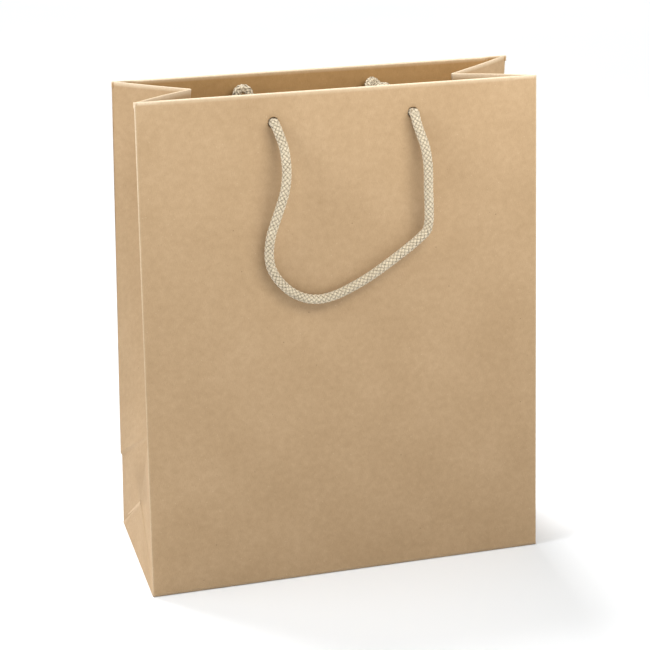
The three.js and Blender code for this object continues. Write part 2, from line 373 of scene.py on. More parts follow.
# A smooth line through the control points (Catmull-Rom, spaced by the square root of each chord), in even
# steps, and its length.
def alongPath(control, step):
    control = np.asarray(control, float)
    before = 2 * control[0] - control[1]
    after = 2 * control[-1] - control[-2]
    p = np.vstack([before, control, after])
    marks = np.concatenate([[0], np.cumsum(np.sqrt(np.linalg.norm(np.diff(p, axis=0), axis=1)))])
    t = np.linspace(0, 1, cutsPerSpan, endpoint=False)
    t0, t1, t2, t3 = (marks[i:len(marks) - 3 + i, None, None] for i in range(4))
    p0, p1, p2, p3 = (p[i:len(p) - 3 + i, None, :] for i in range(4))
    at = t1 + (t2 - t1) * t[None, :, None]
    a1 = ((t1 - at) * p0 + (at - t0) * p1) / (t1 - t0)
    a2 = ((t2 - at) * p1 + (at - t1) * p2) / (t2 - t1)
    a3 = ((t3 - at) * p2 + (at - t2) * p3) / (t3 - t2)
    b1 = ((t2 - at) * a1 + (at - t0) * a2) / (t2 - t0)
    b2 = ((t3 - at) * a2 + (at - t1) * a3) / (t3 - t1)
    line = (((t2 - at) * b1 + (at - t1) * b2) / (t2 - t1)).reshape(-1, 3)
    line = np.vstack([line, control[-1]])
    run = np.concatenate([[0], np.cumsum(np.linalg.norm(np.diff(line, axis=0), axis=1))])
    count = max(int(run[-1] / step), 8)
    even = np.linspace(0, run[-1], count)
    return np.stack([np.interp(even, run, line[:, i]) for i in range(3)], -1), run[-1]


# A fixed direction that stays as far as it can from every tangent, to hang the cross-sections on. It is the
# best of many directions spread over half a ball by the golden angle.
def steadyReference(tangent):
    n = 600
    k = np.arange(n) + 0.5
    polar = np.arccos(1 - k / n)
    turn = np.pi * (1 + 5 ** 0.5) * k
    tries = np.stack([np.cos(turn) * np.sin(polar), np.sin(turn) * np.sin(polar), np.cos(polar)], -1)
    return tries[np.argmin(np.abs(tries @ tangent.T).max(1))]


# A braided tube carried along a path. Two families of strands wind round the line in opposite senses at a
# radius that rises and falls in step, so that each strand goes over one neighbour and under the next. A plain
# tube fills the middle. Each end closes over half a ball whose centre is the path's end.
def braid(name, control, squeeze=1.0):
    shape = cordShape
    radius = shape["radius"] * squeeze
    line, length = alongPath(control, shape["step"])
    tangent = np.gradient(line, axis=0)
    tangent /= np.linalg.norm(tangent, axis=1, keepdims=True)
    run = np.linspace(0, length, len(line))
    # straight run past each end, drawn in to close the ball
    past = radius * np.sin(np.linspace(0, np.pi / 2, shape["ballRings"] + 1)[1:])
    before = (line[0] - past[:, None] * tangent[0])[::-1]
    line = np.vstack([before, line, line[-1] + past[:, None] * tangent[-1]])
    run = np.concatenate([-past[::-1], run, length + past])
    tangent = np.pad(tangent, ((len(past), len(past)), (0, 0)), mode="edge")
    over = np.maximum(np.maximum(-run, run - length), 0)
    size = np.sqrt(np.clip(1 - (over / radius) ** 2, 0.0004, 1))[:, None, None]
    side = steadyReference(tangent)
    side = side - (tangent @ side)[:, None] * tangent
    side /= np.linalg.norm(side, axis=1, keepdims=True)
    other = np.cross(tangent, side)

    points, quads, maps, braidShadings = [], [], [], []
    total = 0
    around = np.arange(shape["sides"]) / shape["sides"] * 2 * np.pi
    slope = math.atan(2 * np.pi * shape["layer"] / shape["pitch"])
    count = len(line)
    index = np.arange(count * shape["sides"]).reshape(count, shape["sides"])
    index = np.hstack([index, index[:, :1]])
    for sense in (1, -1):
        wave = np.cos(2 * np.pi * shape["strands"] * run / shape["pitch"])
        height = (shape["layer"] + sense * shape["weave"] * wave) * squeeze
        for strand in range(shape["strands"]):
            angle = sense * 2 * np.pi * run / shape["pitch"] + 2 * np.pi * strand / shape["strands"]
            outward = np.cos(angle)[:, None] * side + np.sin(angle)[:, None] * other
            about = -np.sin(angle)[:, None] * side + np.cos(angle)[:, None] * other
            across = math.cos(slope) * about - sense * math.sin(slope) * tangent
            ring = (height[:, None, None] * outward[:, None, :]
                    + shape["halfWidth"] * squeeze * np.cos(around)[None, :, None] * across[:, None, :]
                    + shape["halfThick"] * squeeze * np.sin(around)[None, :, None] * outward[:, None, :])
            points.append((line[:, None, :] + ring * size).reshape(-1, 3))
            quads.append(gridQuads(index) + total)
            total += count * shape["sides"]
            along = np.repeat(run / math.cos(slope), shape["sides"])
            wide = np.tile(around * shape["halfWidth"], count) + strand * 0.013 + (sense + 1) * 0.11
            maps.append(np.stack([wide, along], -1))
            # painted light and shade: the outer face of a strand is paler, more so where it passes over, and
            # its underside darker
            lift = (height[:, None] / squeeze - shape["layer"]) / shape["weave"] * 0.5 + 0.5
            crest = cordShade["over"] * lift + cordShade["crest"]
            braidShading = cordShade["gap"] + crest * np.clip(np.sin(around), 0, 1)[None, :]
            braidShadings.append(braidShading.reshape(-1))
    # the plain core, coloured as painted shade
    coreSides, every = shape["coreSides"], shape["coreEvery"]
    turn = np.arange(coreSides) / coreSides * 2 * np.pi
    ring = np.cos(turn)[None, :, None] * side[:, None, :] + np.sin(turn)[None, :, None] * other[:, None, :]
    core = (line[:, None, :] + ring * size * (shape["layer"] - shape["coreInset"]) * squeeze)[::every]
    points.append(core.reshape(-1, 3))
    index = np.arange(core.shape[0] * coreSides).reshape(-1, coreSides)
    quads.append(gridQuads(np.hstack([index, index[:, :1]])) + total)
    wide = np.tile(turn * shape["coreMap"], len(core))
    maps.append(np.stack([wide, np.repeat(run[::every], coreSides)], -1))
    braidShadings.append(np.full(index.size, cordShade["core"]))
    values = {"braidShading": np.concatenate(braidShadings)}
    obj = makeMesh(name, np.vstack(points), np.vstack(quads), np.vstack(maps), values)
    setMaterial(obj, cotton)
    return obj, length


handles = {
    # across, up along the wall and out from its face, in millimetres
    "front": [
        (-41.8, 292.2, 3.6), (-39.6, 286, 4.6), (-37.3, 277.5, 6.4), (-36.6, 269, 8),
        (-36.8, 260.5, 8.8), (-38.3, 251, 8.8), (-41.1, 242, 8.2), (-44.2, 233, 7.4),
        (-46.9, 224.5, 6.6), (-48.1, 216, 5.8), (-47.7, 207.5, 5), (-45.2, 200.4, 4.4),
        (-40.1, 193.2, 4), (-33.3, 187, 3.8), (-25, 182.9, 3.7), (-16, 181.6, 3.7), (-6, 183.4, 3.8),
        (4, 187.3, 4.1), (14, 192.3, 4.6), (24, 198.4, 5.2), (34, 205.2, 5.9), (42.4, 211.2, 6.6),
        (48.2, 216, 7.2), (51.8, 219.6, 7.5), (53.2, 224.6, 7.6), (53.4, 235, 7.8), (53, 245, 8.2),
        (53, 255, 8.4), (52.6, 264, 8), (51.4, 272.5, 6.8), (49.2, 280, 5.2), (47.3, 286.6, 4.1),
        (46.2, 292.2, 3.6),
    ],
    "back": [
        (-44, 292.2, 3.6), (-45, 284.6, 4.4), (-47.6, 274, 5.8), (-50.4, 263, 6.8), (-52.2, 251, 7.2),
        (-52.2, 239, 7), (-49.8, 227, 6.4), (-45, 215.6, 5.6), (-38, 205.4, 4.8), (-29, 197, 4.2),
        (-18.4, 190.8, 3.8), (-6.6, 187.2, 3.7), (5.6, 186.6, 3.7), (17.6, 189.4, 3.8),
        (28.6, 195.2, 4.2), (38, 203.6, 4.8), (45.2, 213.8, 5.6), (49.8, 225.4, 6.4), (51.8, 237.6, 7),
        (51.8, 250, 7.2), (50, 262, 6.8), (47.4, 273.4, 5.8), (45, 284.6, 4.4), (44, 292.2, 3.6),
    ],
}
knots = {
    "lobe": 0.00245,      # scale of the three-lobed turn
    "rise": 0.0029,       # how far the crossings pass over each other
    "inside": 0.0081,     # centre of the knot from the wall's outer face
    "squeeze": 0.95,      # the cord is pulled thinner in the knot
    "turns": {"front_left": 1.9, "front_right": 0.6, "back_left": 0.35, "back_right": 2.45},
    "lift": {"front_left": 0.0, "front_right": 0.0, "back_left": 0.0022, "back_right": 0.0061},
    "sideways": {"front_left": 0.0, "front_right": 0.0, "back_left": 0.0045, "back_right": 0.003},
    "ring": {"back_right": 0.0037},   # a turn that lies as a plain ring, and its radius
    "ringTurn": (-0.68 * np.pi, 1.18 * np.pi),
    "ringInside": (0.0052, 0.0036),   # where the ring starts inside the wall, and how much deeper it ends
    "open": (0.30, 0.42),             # how far short of closing the turn starts and ends, in radians
    "points": 40,
    "lead": (0.0036, 0.0010, -0.0020),   # points on the way through the hole, out from the wall's face
    "tailBend": 0.0025,               # how far the tail bends further in
    "tail": {"front_left": (-0.0010, 0.0138, 0.0080), "front_right": (0.009, -0.0125, 0.0105),
             "back_left": (-0.007, -0.0135, 0.0105), "back_right": (0.006, -0.0140, 0.0100)},
}


# The cord from the hole's mouth through the wall and round an overhand turn to its short tail. The turn is
# the three-lobed curve sin t + 2 sin 2t, cos t - 2 cos 2t, with a height of sin 3t, opened at its middle.
# A turn listed under ring is a circle instead, which goes steadily deeper.
def knotPath(wall, hand):
    key = wall + "_" + hand
    holeAt = bag["holeShift"][wall] + mirror(hand) * halfSpacing
    if key in knots["ring"]:
        t = np.linspace(*knots["ringTurn"], knots["points"])
        flat = knots["ring"][key] * np.stack([np.cos(t), np.sin(t)], -1)
        start, deeper = knots["ringInside"]
        inward = start + deeper * (t - t[0]) / (t[-1] - t[0])
    else:
        first, last = knots["open"]
        t = np.linspace(first, 2 * np.pi - last, knots["points"])
        flat = knots["lobe"] * np.stack([np.sin(t) + 2 * np.sin(2 * t), np.cos(t) - 2 * np.cos(2 * t)], -1)
        turned = knots["turns"][key]
        spin = np.array([[math.cos(turned), -math.sin(turned)], [math.sin(turned), math.cos(turned)]])
        flat = flat @ spin.T
        inward = knots["inside"] + knots["rise"] * np.sin(3 * t)
    centre = np.array([holeAt + knots["sideways"][key], bag["holeHeight"] + knots["lift"][key]])
    coil = np.column_stack([flat + centre, -inward])
    lead = np.array([[holeAt, bag["holeHeight"], out] for out in knots["lead"]])
    across, upward, deep = knots["tail"][key]
    end = np.array([holeAt + across, bag["holeHeight"] + upward, -deep])
    middle = (coil[-1] + end) / 2 - np.array([0, 0, knots["tailBend"]])
    return np.vstack([lead, coil[::2], middle, end])


for wall, flip in (("front", 1), ("back", -1)):
    loop = np.array(handles[wall]) / 1000
    control = onWall(flip, loop[:, 0], loop[:, 1], loop[:, 2])
    cord, loopLength = braid(wall + "Handle", control)
    for hand in ("left", "right"):
        local = knotPath(wall, hand)
        name = wall + "Knot" + hand.title()
        knot, knotLength = braid(name, onWall(flip, *local.T), knots["squeeze"])
        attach(knot, wall + "_wall")
        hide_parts(wall + "_" + hand + "_knot")
        print(wall, hand, "knot", round(knotLength, 4))
    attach(cord, wall + "_handle")
    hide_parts(wall + "_handle_cord")
    print(wall, "handle", round(loopLength, 4))


# The side creases of a real bag aren't quite square: each corner sits this far from its nominal place,
# across the wall, at the foot and at the top, in metres.
edgeShift = {
    ("front", "left"): (-0.0009, 0.0020),
    ("front", "right"): (0.0008, -0.0005),
    ("back", "left"): (0.0006, -0.0010),
    ("back", "right"): (0.0, 0.0003),
}
# The left side of the foot stands a little fuller than the right: how far each left corner is out of place on
# the floor, across and along the depth. It dies away in straight lines to the right and to the top.
fullFoot = {"front": (0.0, -0.0025), "back": (0.0020, 0.0055)}


# How far a side crease strays across the wall at a height, by a straight line between its two ends.
def shiftAt(wall, side, up):
    low, high = edgeShift[(wall, side)]
    return low + (high - low) * np.asarray(up) / wallHeight


# How far the back wall's right edge, seen from outside, steps in below its flat crease.
def stepIn(up):
    return 0.0009 * smooth(0.0535, 0.0515, up)


# Each point moves by the two corners' offsets, shared out by how near it is to each corner.
def settle(points):
    left = np.clip(0.5 - points[..., 0] / width, 0, 1) * np.clip(1 - points[..., 2] / wallHeight, 0, 1)
    front = np.clip(0.5 - points[..., 1] / depth, 0, 1)
    moved = points.copy()
    for share, (across, along) in ((left * front, fullFoot["front"]), (left * (1 - front), fullFoot["back"])):
        moved[..., 0] += share * across
        moved[..., 1] += share * along
    return moved


# A sheet of kraft paper, given its thickness inwards from the face that it is drawn on. The values of wear
# with painted highlight, of painted shade and of the painted inner cast are one for each point, and none
# where they are left out.
def paperSheet(name, points, quads, flatMap, wearAndHighlight, shade=None, inner=None):
    values = {"wearAndHighlight": wearAndHighlight, "shade": shade, "inner": inner}
    values = {key: np.zeros(len(points)) if value is None else value for key, value in values.items()}
    obj = makeMesh(name, settle(points), quads, flatMap, values)
    setMaterial(obj, kraftSheet)
    solid = obj.modifiers.new("thickness", "SOLIDIFY")
    solid.thickness = bag["paper"]
    solid.offset = -1
    solid.use_even_offset = False
    return obj


wallSheet = {
    "creaseRadius": 0.0006,
    "foldRadius": 0.0010,    # over the card
    "thinFold": 0.00042,     # where the card has ended
    "cardEnd": 0.0135,       # in from the side crease
    "block": 0.009,          # half the square patch round a hole
    "blockCells": 8,         # cells along a side of the patch
    "holeRings": (0.3, 0.55, 0.75, 0.9, 1.0),   # share of the way from the square to the circle
    "holeDip": 0.00012,      # how far the paper turns in at the hole's edge
    "rollCells": 4,          # of the quarter turn at each side
    "foldCells": 10,         # of the half-round fold at the top
    "cornerDrop": 0.0035,    # of the hem where its corner is cut away
    "bow": 0.0006,
    "flatCrease": 0.0525,    # height of the crease where the bottom was folded up flat
    "flatCreaseRise": 0.0006,
}


# Values from the first mark on to each later one, which is given with the number of even cells up to it.
def spaced(*marks):
    out = [np.array([marks[0]])]
    last = marks[0]
    for end, cells in marks[1:]:
        out.append(np.linspace(last, end, cells + 1)[1:])
        last = end
    return np.concatenate(out)


# The grid numbers of a square patch's rim, in order, once round.
def squareRim(cells):
    none, full = np.zeros(cells, int), np.full(cells, cells)
    rising, falling = np.arange(cells), np.arange(cells, 0, -1)
    return np.concatenate([none, rising, full, falling]), np.concatenate([rising, full, falling, none])


# Rings of points round a hole, on straight lines from the square's rim to the circle, and the faces between
# them. The last rings dip in by the square of their nearness to the circle.
def ringsToHole(rim, before, centre, firstNumber):
    s = wallSheet
    middle = np.array([centre, bag["holeHeight"]])
    toRim = rim[:, :2] - middle
    circle = toRim / np.linalg.norm(toRim, axis=1, keepdims=True) * bag["holeRadius"]
    rings, quads = [], []
    for share in s["holeRings"]:
        dip = -s["holeDip"] * max(0.0, (share - 0.7) / 0.3) ** 2
        rings.append(np.column_stack([middle + toRim * (1 - share) + circle * share, rim[:, 2] + dip]))
        now = firstNumber + np.arange(len(rim))
        firstNumber += len(rim)
        quads.append(np.stack([before, np.roll(before, -1), np.roll(now, -1), now], -1))
        before = now
    return np.vstack(rings), np.vstack(quads)


# How much a wall's paper is paled by wear and painted highlight: bell curves over the distance to the side
# creases, paler higher up, the fold at the top and the base crease, and on the back over the flat crease.
def wallWearAndHighlight(wall, toEdge, up):
    upShare = np.clip(up / wallHeight, 0, 1)
    wearAndHighlight = np.exp(-(np.maximum(toEdge - 0.0001, 0) / 0.0004) ** 2) * (0.30 + 0.50 * upShare ** 2)
    wearAndHighlight = np.maximum(wearAndHighlight, np.exp(-((up - (wallHeight - 0.0001)) / 0.0009) ** 2) * 0.95)
    wearAndHighlight = np.maximum(wearAndHighlight, 0.25 * np.exp(-(up / 0.0008) ** 2))
    if wall == "back":
        wearAndHighlight = np.maximum(wearAndHighlight, 0.30 * np.exp(-((up - wallSheet["flatCrease"]) / 0.0007) ** 2))
    return wearAndHighlight


# One sheet of paper for a wall: up the outer face, over a half-round fold and down inside as the hem.
# Across, it runs from crease to crease and rolls a quarter turn at each. Round each punched hole a square
# patch of the grid is changed for rings that run from the square to the circle.
def wallMesh(wall, flip):
    s = wallSheet
    half = width / 2
    block, side = s["block"], s["blockCells"]
    inner = spaced(0.0, (halfSpacing - block, 10), (halfSpacing + block, side), (half - 0.018, 14),
                   (half - 0.0135, 3), (half - 0.006, 5), (half - s["creaseRadius"], 6))
    flat = np.concatenate([-inner[:0:-1], inner])
    quarter = np.linspace(0, np.pi / 2, s["rollCells"] + 1)[1:]
    rollX = half - s["creaseRadius"] + s["creaseRadius"] * np.sin(quarter)
    rollOut = -s["creaseRadius"] + s["creaseRadius"] * np.cos(quarter)
    across = np.concatenate([-rollX[::-1], flat, rollX])
    sink = np.concatenate([rollOut[::-1], np.zeros(len(flat)), rollOut])
    holeAt = bag["holeHeight"]
    top = wallHeight - s["foldRadius"]
    outer = spaced(0.00032, (0.004, 2), (0.048, 12), (0.0515, 4), (0.0535, 4), (0.060, 4),
                   (holeAt - block, 62), (holeAt + block, side), (top, 4))
    turn = np.linspace(0, np.pi, s["foldCells"] + 1)[1:-1]
    cellsAboveHole = 4
    hem = spaced(0.0, (top - holeAt - block, cellsAboveHole), (top - holeAt + block, side),
                 (bag["hemDrop"] - s["foldRadius"], 5))
    rows = len(outer) + len(turn) + len(hem)
    x = np.broadcast_to(across, (rows, len(across)))
    toEdge = half - np.abs(x)
    card = smooth(s["cardEnd"] - 0.002, s["cardEnd"] + 0.003, toEdge)
    radius = s["thinFold"] + (s["foldRadius"] - s["thinFold"]) * card
    cut = s["cornerDrop"] + (bag["hemDrop"] - s["cornerDrop"]) * smooth(0.0125, 0.0150, toEdge)
    drop = np.where(card < 1, cut, bag["hemDrop"])
    up = np.empty(x.shape)
    out = np.empty(x.shape)
    n, m = len(outer), len(turn)
    # the outer face ends where the fold begins, a little higher where the fold is thin
    stretch = smooth(0.300, top, outer)[:, None]
    up[:n] = outer[:, None] + stretch * (s["foldRadius"] - radius[:n])
    out[:n] = 0.0
    up[n:n + m] = wallHeight - radius[n:n + m] * (1 - np.sin(turn)[:, None])
    out[n:n + m] = -radius[n:n + m] * (1 - np.cos(turn)[:, None])
    up[n + m:] = wallHeight - radius[n + m:] - hem[:, None] * (drop[n + m:] - radius[n + m:]) / hem[-1]
    out[n + m:] = -2 * radius[n + m:]
    out = out + sink
    run = np.concatenate([outer, wallHeight + turn * s["foldRadius"], wallHeight + 0.003 + hem])
    grid = np.stack([x, up, out], -1)
    index = np.full(x.shape, -1)
    keep = np.ones(x.shape, bool)
    cells = np.ones((rows - 1, x.shape[1] - 1), bool)
    patches = []
    rimI, rimJ = squareRim(side)
    holeRow = int(np.argmin(np.abs(outer - (holeAt - block))))
    for centre in (-halfSpacing, halfSpacing):
        left = int(np.argmin(np.abs(across - (centre - block))))
        for first in (holeRow, n + m + cellsAboveHole):
            cells[first:first + side, left:left + side] = False
            keep[first + 1:first + side, left + 1:left + side] = False
            patches.append((first + rimI, left + rimJ, centre))
    index[keep] = np.arange(keep.sum())
    points = [grid[keep]]
    runs = [np.broadcast_to(run[:, None], x.shape)[keep]]
    quads = [gridQuads(index).reshape(rows - 1, x.shape[1] - 1, 4)[cells]]
    total = int(keep.sum())
    for i, j, centre in patches:
        rings, between = ringsToHole(grid[i, j], index[i, j], centre, total)
        total += len(rings)
        points.append(rings)
        runs.append(run[i].mean() + (rings[:, 1] - holeAt))
        quads.append(between)
    px, pup, pout = np.vstack(points).T
    # soft unevenness of the free paper below the card, none at its edges
    free = smooth(0.0, 0.03, half - np.abs(px)) * smooth(0.0, 0.05, pup) * (1 - smooth(0.235, 0.262, pup))
    seed = 0.7 if flip > 0 else 2.3
    ripple = (np.sin(px * 23 + seed) * np.sin(pup * 17 + 2 * seed) + 0.5 * np.sin(px * 51 - seed + pup * 29))
    pout = pout + s["bow"] * free * ripple
    if wall == "back":
        crease = np.exp(-((pup - s["flatCrease"]) / 0.0012) ** 2)
        pout = pout + s["flatCreaseRise"] * crease * smooth(0.0, 0.002, half - np.abs(px))
    # the pair of holes is punched off the middle, and the side creases stray a little
    sheetX = px
    px = px + bag["holeShift"][wall] * (1 - smooth(0.062, 0.110, np.abs(px)))
    fadeLeft = smooth(0.06, 0.0, half + px)
    fadeRight = smooth(0.06, 0.0, half - px)
    shifted = px + shiftAt(wall, "left", pup) * fadeLeft + shiftAt(wall, "right", pup) * fadeRight
    if wall == "back":
        shifted = shifted - fadeRight * stepIn(pup)
    # painted shade and bounce light make the inside of the fold and the hem a darker, warmer brown, and
    # painted shade darkens a hole's edge
    inward = smooth(-0.0006, -0.0008, out[keep]) * smooth(wallHeight, wallHeight - 0.0012, up[keep])
    ringPoints = len(s["holeRings"]) * len(rimI)
    inward = np.concatenate([inward] + [np.full(ringPoints, onHem) for onHem in (0.0, 1.0, 0.0, 1.0)])
    # painted shade round each hole's edge, where shade falls in the gap round the cord
    near = np.hypot(np.abs(sheetX) - halfSpacing, pup - holeAt)
    shade = 0.5 * smooth(bag["holeRadius"] + 0.0005, bag["holeRadius"], near)
    wearAndHighlight = wallWearAndHighlight(wall, half - np.abs(px), pup)
    flatMap = np.stack([sheetX, np.concatenate(runs)], -1)
    place = onWall(flip, shifted, pup, pout)
    obj = paperSheet(wall + "WallSheet", place, np.vstack(quads), flatMap, wearAndHighlight, shade, inward)
    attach(obj, wall + "_wall")
    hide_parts(wall + "_panel", wall + "_hem")


for wall, flip in (("front", 1), ("back", -1)):
    wallMesh(wall, flip)
    print(wall, "wall")


gusset = {
    # in from the side and up: where the foot's two creases meet the middle crease
    "junction": {"left": (0.0029, 0.0380), "right": (0.0050, 0.0400)},
    "mouth": {"left": (0.0423, 0.3080), "right": (0.0455, 0.3065)},
    "foldRadius": 0.00045,
    "bulge": 0.0010,
    "start": 0.0004,                # where the sheet leaves the wall's roll
    "tuck": 0.003,                  # how far the foot reaches behind the gusset
    "foldCells": 8,
    "hemCells": 12,
    "paintedShade": (0.30, 4.7),          # darkness of the painted shade over the junction, and how fast it widens upwards
    "turnReach": 0.006,             # half the strip over which the flank's motion passes to the pleat's
    "footLines": 24,                # cells from front to back
    "lean": (1.0, 0.12),            # inwards across and up, the way in which the foot tucks
}


# The wall's side crease on a quarter of the bag, as a point in space, with its stray.
def wallEdge(side, end, up):
    flip = 1 if end == "front" else -1
    hand = side if flip > 0 else ("right" if side == "left" else "left")
    x = mirror(hand) * width / 2 + shiftAt(end, hand, up)
    if (end, hand) == ("back", "right"):
        x = x - stepIn(up)
    return onWall(flip, x, up, 0.0)


# The gusset's middle crease from the junction (t 0) to the mouth (t 1).
def middleLine(side, t):
    low, high = (np.array([mirror(side) * (width / 2 - inset), 0.0, height])
                 for inset, height in (gusset["junction"][side], gusset["mouth"][side]))
    return low + (high - low) * np.asarray(t)[..., None]


# Vectors brought to length 1.
def unit(v):
    return v / np.maximum(np.linalg.norm(v, axis=-1, keepdims=True), 1e-12)


# A point of a gusset half: the straight line from the wall crease to the middle crease at the same share of
# their heights, bowed out a little as a half sine.
def gussetSurface(side, end, across, t):
    edge = wallEdge(side, end, t * wallHeight)
    middle = middleLine(side, t)
    point = edge + (middle - edge) * across[..., None]
    lengthwise = unit(middleLine(side, np.ones_like(t)) - middleLine(side, np.zeros_like(t)))
    crosswise = unit(middle - edge)
    normal = unit(np.cross(crosswise, lengthwise))
    normal = normal * np.sign(normal[..., :1] * -mirror(side))   # towards the inside of the bag
    bow = -gusset["bulge"] * np.sin(np.pi * across) * smooth(0.0, 0.25, t)
    return point + normal * bow[..., None], normal


# A gusset half from the foot's crease up to the mouth, over a small half-round fold and down as its hem.
def gussetMesh(side, end):
    g = gusset
    across = spaced(0.0, (0.02, 2), (0.12, 4), (0.9, 16), (0.98, 4), (1.0, 2))
    gap = g["start"] / (depth / 2)
    across = gap + across * (1 - gap)
    rows = spaced(0.0, (0.02, 4), (0.16, 10), (0.18, 5), (0.85, 40), (0.99, 8),
                  (1 - g["foldRadius"] / wallHeight, 1))
    turn = np.linspace(0, np.pi, g["foldCells"] + 1)[1:-1]
    hem = spaced(0.0, (bag["hemDrop"], g["hemCells"]))
    u, t = np.meshgrid(across, np.concatenate([rows, np.ones(len(turn) + len(hem))]))
    point, normal = gussetSurface(side, end, u, t)
    n, m = len(rows), len(turn)
    r = g["foldRadius"]
    lift = np.zeros(u.shape)
    inward = np.zeros(u.shape)
    lift[n:n + m] = -r + r * np.sin(turn)[:, None]
    inward[n:n + m] = r - r * np.cos(turn)[:, None]
    # the hem's corner by the wall is cut away on a slant
    drop = hem[:, None] * smooth(0.02, 0.30, u[n + m:]) + 0.002 * (hem[:, None] / hem[-1])
    lift[n + m:] = -r - drop
    inward[n + m:] = 2 * r
    # hem layers follow the sheet itself below the fold
    tHem = t + lift / wallHeight
    below, _ = gussetSurface(side, end, u, tHem)
    point = np.where((np.arange(len(u)) >= n)[:, None, None], below, point)
    point = point + normal * inward[..., None]
    index = np.arange(u.size).reshape(u.shape)
    quads = gridQuads(index)
    if (side == "left") == (end == "front"):
        quads = quads[:, ::-1]
    # folds paled by wear and painted highlight
    wearAndHighlight = 0.35 * np.exp(-((1 - u) / 0.010) ** 2) * smooth(0.0, 0.4, t)
    wearAndHighlight = np.maximum(wearAndHighlight, 0.9 * np.exp(-((tHem * wallHeight - wallHeight) / 0.0010) ** 2))
    wearAndHighlight = np.maximum(wearAndHighlight, (0.2 + 0.4 * t ** 2) * np.exp(-(u * depth / 2 / 0.0006) ** 2))
    wearAndHighlight = np.maximum(wearAndHighlight, 0.12 * np.exp(-((t * wallHeight - wallSheet["flatCrease"]) / 0.0008) ** 2))
    # painted shade over the junction, where the real gusset turns into a shallow hollow
    darkness, widening = g["paintedShade"]
    wedge = (1 - u) / np.maximum(widening * t, 1e-6)
    shade = darkness * (1 - smooth(0.75, 1.1, wedge)) * (1 - smooth(0.07, 0.15, t)) * smooth(0.0, 0.01, t)
    run = np.where((np.arange(len(u)) >= n)[:, None], wallHeight + 0.002 + inward - lift, t * wallHeight)
    uv = np.stack([u * depth / 2 + (0.3 if end == "front" else 0.5), run], -1).reshape(-1, 2)
    name = side + end.title() + "Gusset"
    obj = paperSheet(name, point.reshape(-1, 3), quads, uv, wearAndHighlight.ravel(), shade.ravel())
    # the bend between the flank and the pleat runs from the junction to the top corner
    top = wallEdge(side, end, np.array(wallHeight))
    low = middleLine(side, np.array(0.0))
    bend = unit(top - low)
    towards = middleLine(side, np.array(1.0)) - low
    towards = unit(towards - bend * (towards @ bend))
    body = side + "_" + end
    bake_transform(obj)
    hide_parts(body + "_flank", body + "_pleat", body + "_pleat_hem")


# The triangle over the base edge: lines from the base edge drawn in to the junction, with a strip past each
# slanting crease that tucks behind the gusset.
def footMesh(side):
    g = gusset
    corner = {end: wallEdge(side, end, np.array(0.0)) for end in ("front", "back")}
    tip = middleLine(side, np.array(0.0))
    share = np.linspace(0, 1, g["footLines"] + 1)
    rise = spaced(0.006, (0.06, 3), (0.94, 20), (0.985, 3))
    u, v = np.meshgrid(share, rise)
    base = corner["front"] + (corner["back"] - corner["front"]) * u[..., None]
    point = base + (tip - base) * v[..., None]
    inwards = np.array([-mirror(side) * g["lean"][0], 0.0, g["lean"][1]])
    columns = [point]
    for end, edge in (("front", point[:, 0]), ("back", point[:, -1])):
        upward = unit(wallEdge(side, end, np.array(wallHeight)) - corner[end])
        strip = [edge + upward * d + inwards * sink for d, sink in ((0.0004, 0.00036), (g["tuck"], 0.0004))]
        if end == "front":
            columns = [strip[1][:, None], strip[0][:, None]] + columns
        else:
            columns = columns + [strip[0][:, None], strip[1][:, None]]
    point = np.concatenate(columns, 1)
    index = np.arange(point.shape[0] * point.shape[1]).reshape(point.shape[:2])
    quads = gridQuads(index)
    if side == "right":
        quads = quads[:, ::-1]
    span = np.concatenate([[-0.002, -0.0005], share * depth, [depth + 0.0005, depth + 0.002]])
    uv = np.stack(np.broadcast_arrays(span[None, :] + 0.9, rise[:, None] * 0.05), -1).reshape(-1, 2)
    toBase = np.broadcast_to(rise[:, None] * 0.04, point.shape[:2])
    slant = np.concatenate([[0, 0], np.minimum(share, 1 - share), [0, 0]])
    slant = np.broadcast_to(slant[None, :], point.shape[:2])
    toCrease = slant * depth * (1 - np.broadcast_to(rise[:, None], point.shape[:2]))
    # folds paled by wear and painted highlight
    wearAndHighlight = np.maximum(0.12 * np.exp(-(toCrease / 0.001) ** 2), 0.25 * np.exp(-(toBase / 0.001) ** 2))
    obj = paperSheet(side + "Foot", point.reshape(-1, 3), quads, uv, wearAndHighlight.ravel())
    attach(obj, side + "_foot")
    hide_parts(side + "_foot")


for side in ("left", "right"):
    for end in ("front", "back"):
        gussetMesh(side, end)
    footMesh(side)
    print(side, "gusset")


bottom = {
    "lap": 0.012,          # how far each flap passes the middle
    "flapLevel": 0.0003,
    "stepUp": 0.0006,      # of the back flap over the edge of the front one
    "tuckLevel": 0.00135,
    "reach": 0.045,        # of the end tucks
    "ends": 0.0018,        # how far the flaps stay back from the sides
    "sides": 0.0004,       # and from the walls
    "tuckInset": 0.0016,
    "flapGrid": (60, 80),  # lines, and points along a line
    "tuckGrid": (30, 40),
}


# A flat piece of the bottom: straight lines drawn between the first row of points and the last, at one level
# or at a level for each line, then moved with the corners.
def bottomSheet(name, first, last, level, lines, wearAndHighlight):
    share = np.linspace(0, 1, lines)[:, None]
    rows = [first[:, axis] * (1 - share) + last[:, axis] * share for axis in (0, 1)]
    point = np.stack([*rows, np.broadcast_to(np.reshape(level, (-1, 1)), rows[0].shape)], -1)
    index = np.arange(rows[0].size).reshape(rows[0].shape)
    uv = point[..., :2].reshape(-1, 2) + 1.7
    obj = paperSheet(name, point.reshape(-1, 3), gridQuads(index)[:, ::-1], uv, np.repeat(wearAndHighlight, len(first)))
    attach(obj, "base")
    return obj


